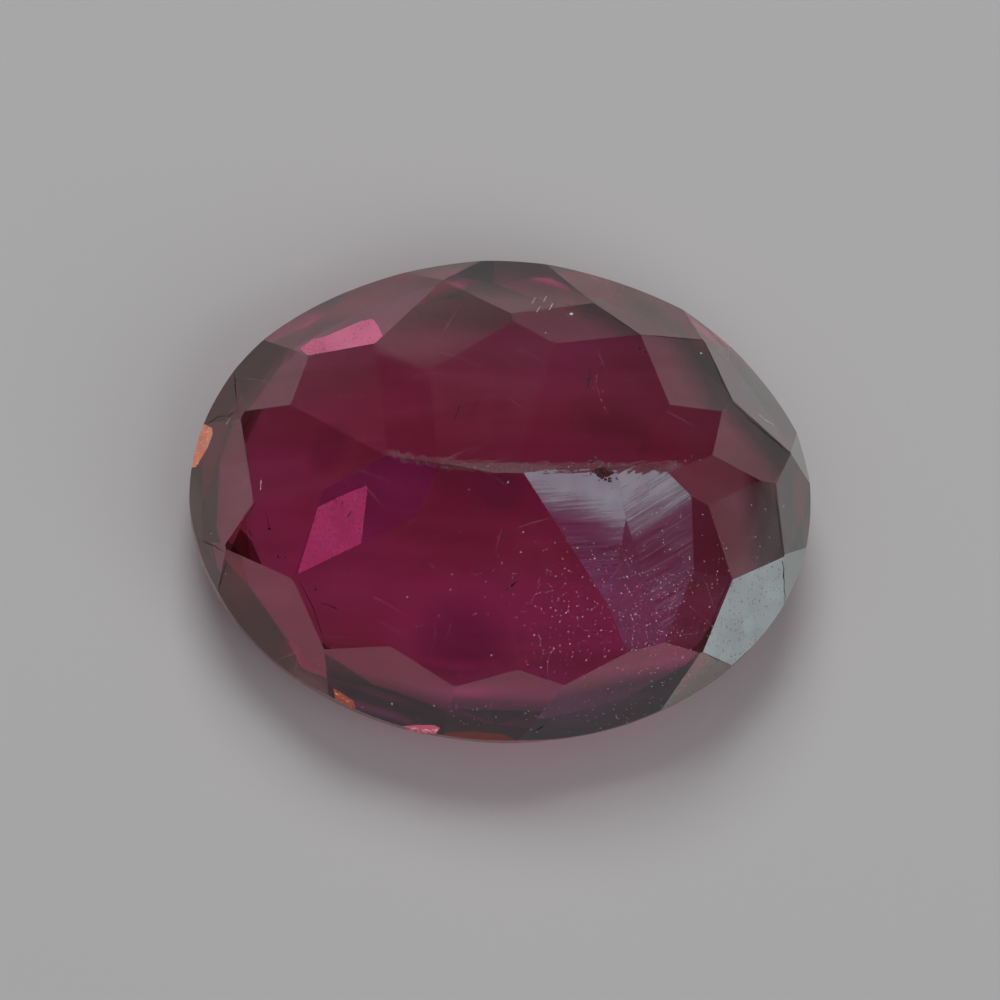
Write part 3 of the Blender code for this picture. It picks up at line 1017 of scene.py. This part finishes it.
@dataclass
class WearAndPaintedFlashes:
    """All that time and the rock have put on and into the stone, and the painted flashes of its feathers."""

    surface: Surface
    bruises_per_mm: float = 24.0
    needle_thinning: float = 0.62
    scratch_count: int = 34
    flash_way: Vector = field(default_factory=lambda: Vector((-0.079, 0.257, 0.963)))

    def marks(self, name: str, grit: Grit, seed: int) -> Marks:
        """Starts a piece of marks on this stone."""
        return Marks(name, grit, self.surface, seed)

    def dust(self) -> None:
        """Dust: thick over the near right, thin elsewhere, with a few large specks."""
        dust = self.marks("dust_specks", Grit.DUST, 11)
        dust.cloud((2.00, -2.02), (1.15, 0.66), 380, (0.009, 0.021))
        dust.cloud((2.58, -1.42), (0.5, 0.75), 130, (0.009, 0.020))
        dust.cloud((1.67, -1.67), (1.2, 0.9), 120, (0.009, 0.017))
        dust.cloud((1.00, -3.53), (1.2, 0.16), 60, (0.010, 0.020))
        dust.cloud((3.17, -3.17), (0.6, 0.25), 34, (0.010, 0.020))
        dust.cloud((4.00, -1.00), (0.3, 0.6), 24, (0.010, 0.020))
        dust.cloud((0.00, 0.00), (2.6, 2.0), 170, (0.008, 0.014))
        for place, size in (
            ((1.19, 3.10), 0.034), ((1.12, 3.09), 0.016), ((0.76, 2.79), 0.018), ((0.13, 0.30), 0.022),
            ((3.35, 2.45), 0.022), ((1.57, 2.23), 0.012), ((1.68, 2.27), 0.010), ((1.55, 1.87), 0.014),
            ((-1.80, -3.40), 0.020), ((-1.10, -3.43), 0.020), ((-0.73, -3.43), 0.014),
            ((-0.45, -3.50), 0.014), ((-0.38, -3.50), 0.015), ((-0.15, -3.43), 0.015),
            ((4.73, -0.10), 0.022), ((2.05, -2.83), 0.030), ((1.77, 0.44), 0.030), ((2.63, -2.80), 0.022),
            ((1.00, -2.03), 0.020), ((1.83, -1.75), 0.020),
        ):
            dust.grain(place, size)
        for x, y in ((0.56, 3.32), (0.75, 3.35), (0.64, 3.18), (0.85, 3.22), (-4.53, 1.31)):
            dust.hair([(x - 0.03, y - 0.05), (x + 0.03, y + 0.05)], 0.0075, -0.002)
        dust.hair([(-3.98, 0.33), (-3.99, 0.17)], 0.010, -0.002)
        dust.hair([(4.32, 1.42), (4.42, 1.33), (4.55, 1.25)], 0.012, -0.002)
        dust.build()

    def needles(self) -> None:
        """Dark needles and specks that lie under the polish."""
        dark = self.marks("dark_needles", Grit.DARK, 23)
        for path, radius in (
            ([(-3.92, -0.23), (-3.88, -0.35), (-3.85, -0.45)], 0.012),
            ([(-4.18, -0.50), (-4.13, -0.61)], 0.020),
            ([(-2.60, -0.41), (-2.53, -0.28), (-2.49, -0.18)], 0.018),
            ([(-3.00, -0.87), (-2.99, -0.72)], 0.014), ([(1.48, 2.12), (1.47, 2.02), (1.48, 1.90)], 0.026),
            ([(-0.75, 1.37), (-0.70, 1.50), (-0.67, 1.58)], 0.012),
            ([(0.10, -1.50), (0.20, -1.43), (0.27, -1.37)], 0.022),
            ([(-2.97, -1.72), (-2.83, -1.77), (-2.72, -1.80)], 0.016),
            ([(0.47, -3.88), (0.60, -3.85), (0.72, -3.78)], 0.018),
            ([(-2.78, 0.05), (-2.70, -0.05)], 0.014), ([(-2.62, 0.08), (-2.65, -0.13)], 0.010),
            ([(-2.42, -0.33), (-2.47, -0.57)], 0.008), ([(-2.83, -0.33), (-2.88, -0.50)], 0.008),
            ([(-3.18, -1.00), (-3.12, -0.85)], 0.010), ([(-2.58, -0.67), (-2.60, -0.87)], 0.008),
            ([(-2.38, 0.00), (-2.40, -0.13)], 0.008),
            ([(4.68, -0.88), (4.73, -1.03), (4.72, -1.33), (4.75, -1.70)], 0.012),
        ):
            dark.hair(path, radius * self.needle_thinning, 0.005, 0.014)
        for place, size in (
            ((-3.85, -0.48), 0.030), ((-3.70, -0.95), 0.024), ((-3.58, -0.96), 0.018),
            ((-3.08, -1.50), 0.030), ((1.48, 2.02), 0.040), ((0.20, -1.43), 0.034),
            ((-2.73, -0.05), 0.022), ((2.33, 2.53), 0.030), ((2.43, 2.47), 0.026), ((3.37, 2.68), 0.030),
            ((-0.80, 2.67), 0.014), ((-3.33, -1.67), 0.012),
        ):
            dark.grain(place, size, flat=0.5, sunk=0.5)
        dark.cloud((-2.58, -0.50), (0.22, 0.32), 34, (0.006, 0.018), flat=0.3, sunk=0.3)
        dark.cloud((-3.33, -1.00), (0.7, 0.6), 30, (0.004, 0.010), flat=0.4, sunk=0.6)
        dark.cloud((0.00, 0.00), (2.4, 1.8), 50, (0.004, 0.009), flat=0.4, sunk=0.6)
        dark.build()

    def cracks(self) -> None:
        """The facet edges that have splintered: dark, broken lines with chips along them."""
        dark = self.marks("edge_chips", Grit.DARK, 31)
        for path in (
            [(-4.33, 1.50), (-4.52, 1.41), (-4.68, 1.39), (-4.78, 1.32), (-5.00, 1.23)],
            [(-4.37, 1.53), (-4.40, 1.83), (-4.43, 2.13)],
            [(-5.05, -0.65), (-4.85, -0.72), (-4.67, -0.82), (-4.52, -0.87)],
            [(-4.52, -0.93), (-4.65, -1.30), (-4.68, -1.50)],
            [(4.70, -0.93), (4.73, -1.25), (4.75, -1.72)],
            [(3.37, 2.67), (3.60, 2.23), (3.85, 1.63)],
            [(3.85, 1.63), (4.25, 1.27), (4.82, 0.78)],
        ):
            dark.hair(path, 0.011, 0.0, 0.014)
            for x, y in path[1:-1]:
                dark.cloud((x, y), (0.06, 0.04), 5, (0.006, 0.016), flat=0.4, sunk=0.3)
        for path in (
            [(-4.52, -0.88), (-4.33, -0.47), (-4.07, -0.05)],
            [(-2.90, -2.47), (-3.10, -1.83), (-3.38, -1.28)],
            [(3.35, -2.53), (3.53, -2.03), (3.83, -1.32)], [(3.85, -2.75), (3.35, -2.53)],
            [(2.33, 2.75), (3.37, 2.67)], [(4.57, 0.27), (4.72, -0.90)], [(1.57, 3.28), (2.33, 2.75)],
        ):
            dark.hair(path, 0.008, 0.0, 0.006)
        dark.build()

    def keel(self) -> None:
        """The keel: rubbed to a ragged, bruised band, with a knob and a dark pit."""
        bruised = self.marks("keel_bruises", Grit.BRUISED, 43)
        line = [(-1.67, 0.68), (-1.25, 0.62), (-0.93, 0.57), (-0.50, 0.52), (0.00, 0.53), (0.38, 0.53),
                (1.00, 0.55), (1.50, 0.58), (2.08, 0.57), (2.70, 0.53), (3.07, 0.65), (3.37, 0.72)]
        for first, second in zip(line, line[1:]):
            for _ in range(round(apart(first, second) * self.bruises_per_mm)):
                right, up = between(first, second, bruised.chance.random())
                place = (right, up + bruised.chance.gauss(0.0, 0.03))
                bruised.grain(place, 0.012 + 0.025 * bruised.chance.random() ** 2, flat=0.2, sunk=0.1)
        bruised.cloud((1.57, 0.64), (0.07, 0.03), 16, (0.014, 0.036), flat=0.25, sunk=0.15)
        bruised.build()
        pit = self.marks("keel_pit", Grit.PIT, 47)
        pit.cloud((1.72, 0.43), (0.065, 0.05), 18, (0.045, 0.095), flat=0.12, sunk=0.0)
        pit.cloud((1.72, 0.43), (0.11, 0.08), 26, (0.015, 0.04), flat=0.3, sunk=0.1)
        pit.cloud((1.62, 0.50), (0.05, 0.02), 8, (0.014, 0.03), flat=0.3, sunk=0.1)
        pit.cloud((1.83, 0.32), (0.02, 0.04), 6, (0.014, 0.03), flat=0.3, sunk=0.1)
        pit.build()

    def healed(self) -> None:
        """Healed cracks: strings of liquid drops that glint red, and pink specks at the far rim."""
        drops = self.marks("healed_cracks", Grit.HEALED, 53)
        low_trail = [(1.98, -0.67), (2.17, -1.17), (2.50, -1.58), (2.67, -2.00)]
        for first, second in zip(low_trail, low_trail[1:]):
            for step in range(9):
                place = between(first, second, (step + drops.chance.random()) / 9)
                drops.grain(place, drops.chance.uniform(0.006, 0.012))
        high_trail = [(1.62, 2.17), (1.60, 1.93), (1.69, 1.66), (1.88, 1.25)]
        for first, second in zip(high_trail, high_trail[1:]):
            for _ in range(8):
                place = between(first, second, drops.chance.random())
                drops.grain(place, drops.chance.uniform(0.007, 0.014), flat=0.4, sunk=0.1)
        for place in ((1.57, 3.70), (1.87, 3.62), (2.03, 3.60), (1.90, 3.48), (-0.27, -3.70), (1.80, 3.68)):
            drops.cloud(place, (0.06, 0.035), 9, (0.008, 0.024), flat=0.3, sunk=0.3)
        drops.build()

    def scratches(self) -> None:
        """Long fine scratches in the polish, each way across the stone."""
        fine = self.marks("polish_scratches", Grit.SCRATCH, 61)
        for _ in range(self.scratch_count):
            x, y = fine.chance.uniform(-4.2, 4.2), fine.chance.uniform(-3.0, 3.0)
            turn, half = fine.chance.uniform(0, math.pi), fine.chance.uniform(0.1, 0.5)
            aside, above = half * math.cos(turn), half * math.sin(turn)
            fine.hair([(x - aside, y - above), (x, y + 0.02), (x + aside, y + above)], 0.0018, -0.0003)
        fine.build()

    def feathers(self) -> None:
        """The feathers at the rim, as flakes whose bright colours are a painted flash: an orange one at the
        left end, and two at the near side.
        """
        orange = self.marks("orange_feather_painted_flash", Grit.ORANGE_FEATHER_FLASH, 71)
        left_end = [(-4.88, 1.25), (-4.92, 1.07), (-5.00, 0.83), (-5.07, 0.60)]
        orange.shingles(left_end, 0.15, 80, 0.024, self.flash_way)
        orange.shingles([(-2.73, -3.22), (-2.62, -3.30), (-2.47, -3.38)], 0.06, 12, 0.018, self.flash_way)
        orange.build()
        pink = self.marks("pink_feather_painted_flash", Grit.PINK_FEATHER_FLASH, 73)
        near_side = [(-1.53, -3.82), (-1.40, -3.83), (-1.27, -3.85), (-1.05, -3.83)]
        pink.shingles(near_side, 0.08, 60, 0.026, self.flash_way)
        pink.build()

    def build(self) -> None:
        """Makes every kind of mark, and the feathers' painted flashes."""
        self.keel()
        self.cracks()
        self.needles()
        self.healed()
        self.feathers()
        self.scratches()
        self.dust()


@dataclass
class Studio:
    """The pale floor, the soft lights and the camera over the stone.

    The room's ceiling, horizon and dark wall are told by the direction in which one looks: by how far
    it rises, from 0 at the horizon to 1 straight up, and by how far it goes towards the wall. Each
    glow is a brightness.
    """

    sight: Sight
    floor_half: float = 50 * MM
    floor_level: float = -0.03 * MM
    grey_reach: Span = (12 * MM, 30 * MM)
    floor_colours: tuple[str, str] = ("c1c0c1", "f4f4f2")
    light_distance: float = 0.3
    ceiling: Span = (0.45, 0.9)
    ceiling_glow: Span = (0.04, 0.55)
    horizon: float = 0.05
    horizon_glow: float = 0.55
    wall_way: tuple[float, float, float] = (-0.62, 0.78, 0.0)
    wall: Span = (0.80, 0.93)
    wall_glow: float = 0.1

    def floor(self) -> None:
        """Lays the floor: grey paper round the stone, paler further out."""
        sheet = bmesh.new()
        bmesh.ops.create_grid(sheet, x_segments=1, y_segments=1, size=self.floor_half)
        bmesh.ops.translate(sheet, verts=sheet.verts[:], vec=(0.0, 0.0, self.floor_level))
        material, tree = new_material("floor_paper")
        place = add(tree, "TexCoord")
        length = add(tree, "VectorMath", {"operation": "LENGTH"}, n0=place.outputs["Object"])
        far = add(tree, "MapRange", SMOOTH, Value=length.outputs["Value"],
                  From_Min=self.grey_reach[0], From_Max=self.grey_reach[1])
        grey, pale = ((*linear(colour), 1.0) for colour in self.floor_colours)
        tone = add(tree, "Mix", COLOURS, n0=far, n6=grey, n7=pale)
        shader = add(tree, "BsdfPrincipled", Roughness=0.9, Base_Color=tone.outputs[2])
        shader.inputs["Specular IOR Level"].default_value = 0.0
        add(tree, "OutputMaterial", Surface=shader)
        put_in_scene("floor", sheet, material)

    def softbox(self, name: str, azimuth: float, elevation: float, size: float, brightness: float) -> None:
        """Hangs one round soft light, aimed at the stone.

        Args:
            name: the light's name.
            azimuth: its direction in degrees from the right-hand end, anticlockwise from above.
            elevation: its height in degrees.
            size: its width in metres.
            brightness: the radiance of its face.
        """
        light = bpy.data.lights.new(name, "AREA")
        light.shape = "DISK"
        light.size = size
        light.energy = brightness * math.pi * math.pi * (size / 2) ** 2
        lamp = bpy.data.objects.new(name, light)
        a, e = math.radians(azimuth), math.radians(elevation)
        way = Vector((math.cos(a) * math.cos(e), math.sin(a) * math.cos(e), math.sin(e)))
        lamp.location = way * self.light_distance
        lamp.rotation_mode = "QUATERNION"
        lamp.rotation_quaternion = way.to_track_quat("Z", "Y")
        bpy.context.scene.collection.objects.link(lamp)

    def world(self) -> None:
        """The room: a bright ceiling, dark walls, and a pale band at the horizon, darker at the far left."""
        world = bpy.data.worlds.new("room")
        bpy.context.scene.world = world
        world.use_nodes = True
        tree = world.node_tree
        tree.nodes.clear()
        way = add(tree, "TexCoord")
        height = add(tree, "SeparateXYZ", Vector=way.outputs["Generated"])
        start, end = self.ceiling
        dark, bright = self.ceiling_glow
        rise = add(tree, "MapRange", SMOOTH, Value=height.outputs["Z"],
                   From_Min=start, From_Max=end, To_Min=dark, To_Max=bright)
        low = add(tree, "MapRange", SMOOTH, Value=height.outputs["Z"],
                  From_Min=0.0, From_Max=self.horizon, To_Min=self.horizon_glow, To_Max=0.0)
        towards = add(tree, "VectorMath", {"operation": "DOT_PRODUCT"}, n0=way.outputs["Generated"],
                      n1=self.wall_way)
        near, far = self.wall
        shade = add(tree, "MapRange", SMOOTH, Value=towards.outputs["Value"],
                    From_Min=near, From_Max=far, To_Min=1.0, To_Max=self.wall_glow)
        glow = add(tree, "Math", TIMES, n0=low, n1=shade)
        total = add(tree, "Math", {"operation": "ADD"}, n0=rise, n1=glow)
        sky = add(tree, "Background", Strength=total)
        add(tree, "OutputWorld", Surface=sky)

    def build(self) -> None:
        """Sets the whole studio up."""
        self.sight.camera()
        self.floor()
        self.softbox("back_softbox", 97.0, 52.0, 0.14, 8.6)
        self.softbox("right_softbox", 318.0, 50.0, 0.26, 1.0)
        self.world()
        bpy.context.scene.view_settings.view_transform = "Standard"


def main() -> None:
    """Builds the studio and every piece, in order."""
    logging.basicConfig(level=logging.INFO, format="%(message)s")
    sight = Sight()
    Studio(sight).build()
    surface = Gem(sight).build()
    WearAndPaintedFlashes(surface).build()


if __name__ == "__main__":
    main()
